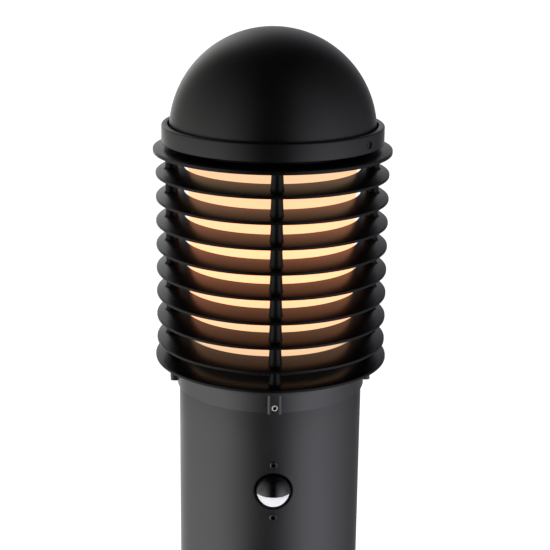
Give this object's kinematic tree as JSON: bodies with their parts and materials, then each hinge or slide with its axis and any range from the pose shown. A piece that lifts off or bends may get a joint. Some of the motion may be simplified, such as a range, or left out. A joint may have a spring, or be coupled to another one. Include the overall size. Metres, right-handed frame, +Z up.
{
  "type": "bollard light",
  "caption": "Round garden bollard light: louvred lantern head with a frosted diffuser under a domed cap, on a plain post with a motion sensor and a bolt-down base.",
  "frame": {"origin": "centre of the base plate's underside, on the post's axis", "axes": "+Z up along the post, -Y towards the motion sensor (front), +X to the right seen from the front"},
  "size_m": [0.17, 0.17, 1],
  "materials": {
    "graphite_paint": "fine matte graphite powder coat",
    "satin_black": "satin black powder coat",
    "stainless": "turned stainless steel",
    "zinc_steel": "zinc plated sheet steel",
    "brass": "plain brass",
    "white_plastic": "moulded white plastic",
    "black_plastic": "moulded black plastic",
    "gloss_black": "polished black plastic",
    "sensor_white": "milky ribbed lens plastic",
    "seal_rubber": "soft black rubber",
    "lead_sheath": "matte cable sheath",
    "frosted_diffuser": "opal frosted, lit from inside",
    "lamp_glass": "opal lamp glass",
    "lamp_metal": "nickelled lamp cap"
  },
  "bodies": {
    "root": {"base_flange": "graphite_paint", "base_grub_screws": "stainless", "post_tube": "graphite_paint", "earth_stud": "brass", "terminal_bracket": "zinc_steel", "bracket_screws": "stainless", "terminal_block": "white_plastic", "sensor_housing": "black_plastic", "sensor_bezel": "black_plastic", "sensor_seal": "seal_rubber", "sensor_lens": "sensor_white", "sensor_screws": "stainless", "connector_shelf": "zinc_steel", "head_socket": "black_plastic", "switched_lead": "lead_sheath", "supply_lead": "lead_sheath", "lead_clips": "black_plastic"},
    "mask": {"sensor_mask": "gloss_black"},
    "time_adjuster": {"time_dial": "white_plastic"},
    "level_adjuster": {"light_level_dial": "white_plastic"},
    "head": {"head_base": "graphite_paint", "collar_grub_screws": "stainless", "bottom_ring": "satin_black", "louvre_1": "satin_black", "louvre_2": "satin_black", "louvre_3": "satin_black", "louvre_4": "satin_black", "louvre_5": "satin_black", "louvre_6": "satin_black", "louvre_7": "satin_black", "louvre_8": "satin_black", "top_ring": "satin_black", "tie_screws": "stainless", "diffuser_seal": "seal_rubber", "cap_seal": "seal_rubber", "holder_bracket": "zinc_steel", "holder_screws": "stainless", "lamp_holder": "white_plastic", "lamp_contact": "brass", "deck_grommet": "seal_rubber", "lamp_lead": "lead_sheath", "head_plug": "black_plastic"},
    "lamp": {"lamp_cap": "lamp_metal", "lamp_bulb": "lamp_glass"},
    "diffuser": {"diffuser": "frosted_diffuser"},
    "cap": {"dome": "satin_black", "cap_ring": "satin_black", "cap_screws": "stainless", "hold_down_ring": "zinc_steel", "hold_down_pad": "seal_rubber", "hold_down_screws": "stainless"}
  },
  "joints": [
    {"name": "mask_turn", "type": "hinge", "parent": "root", "child": "mask", "pos_m": [0, -0.055, 0.7285], "axis": [0, 1, 0], "range_deg": [-90, 90]},
    {"name": "time_turn", "type": "hinge", "parent": "root", "child": "time_adjuster", "pos_m": [-0.007, -0.0265, 0.7285], "axis": [0, 1, 0], "range_deg": [0, 270]},
    {"name": "level_turn", "type": "hinge", "parent": "root", "child": "level_adjuster", "pos_m": [0.007, -0.0265, 0.7285], "axis": [0, 1, 0], "range_deg": [0, 270]},
    {"name": "head_lift", "type": "slide", "parent": "root", "child": "head", "axis": [0, 0, 1], "range_m": [0, 0.06]},
    {"name": "cap_lift", "type": "slide", "parent": "head", "child": "cap", "axis": [0, 0, 1], "range_m": [0, 0.3]},
    {"name": "diffuser_lift", "type": "slide", "parent": "head", "child": "diffuser", "axis": [0, 0, 1], "range_m": [0, 0.15]},
    {"name": "lamp_lift", "type": "slide", "parent": "head", "child": "lamp", "axis": [0, 0, 1], "range_m": [0, 0.06]}
  ],
  "couplings": [
    {"joint": "diffuser_lift", "follows": "cap_lift", "ratio": 0.5},
    {"joint": "lamp_lift", "follows": "cap_lift", "ratio": 0.2}
  ]
}
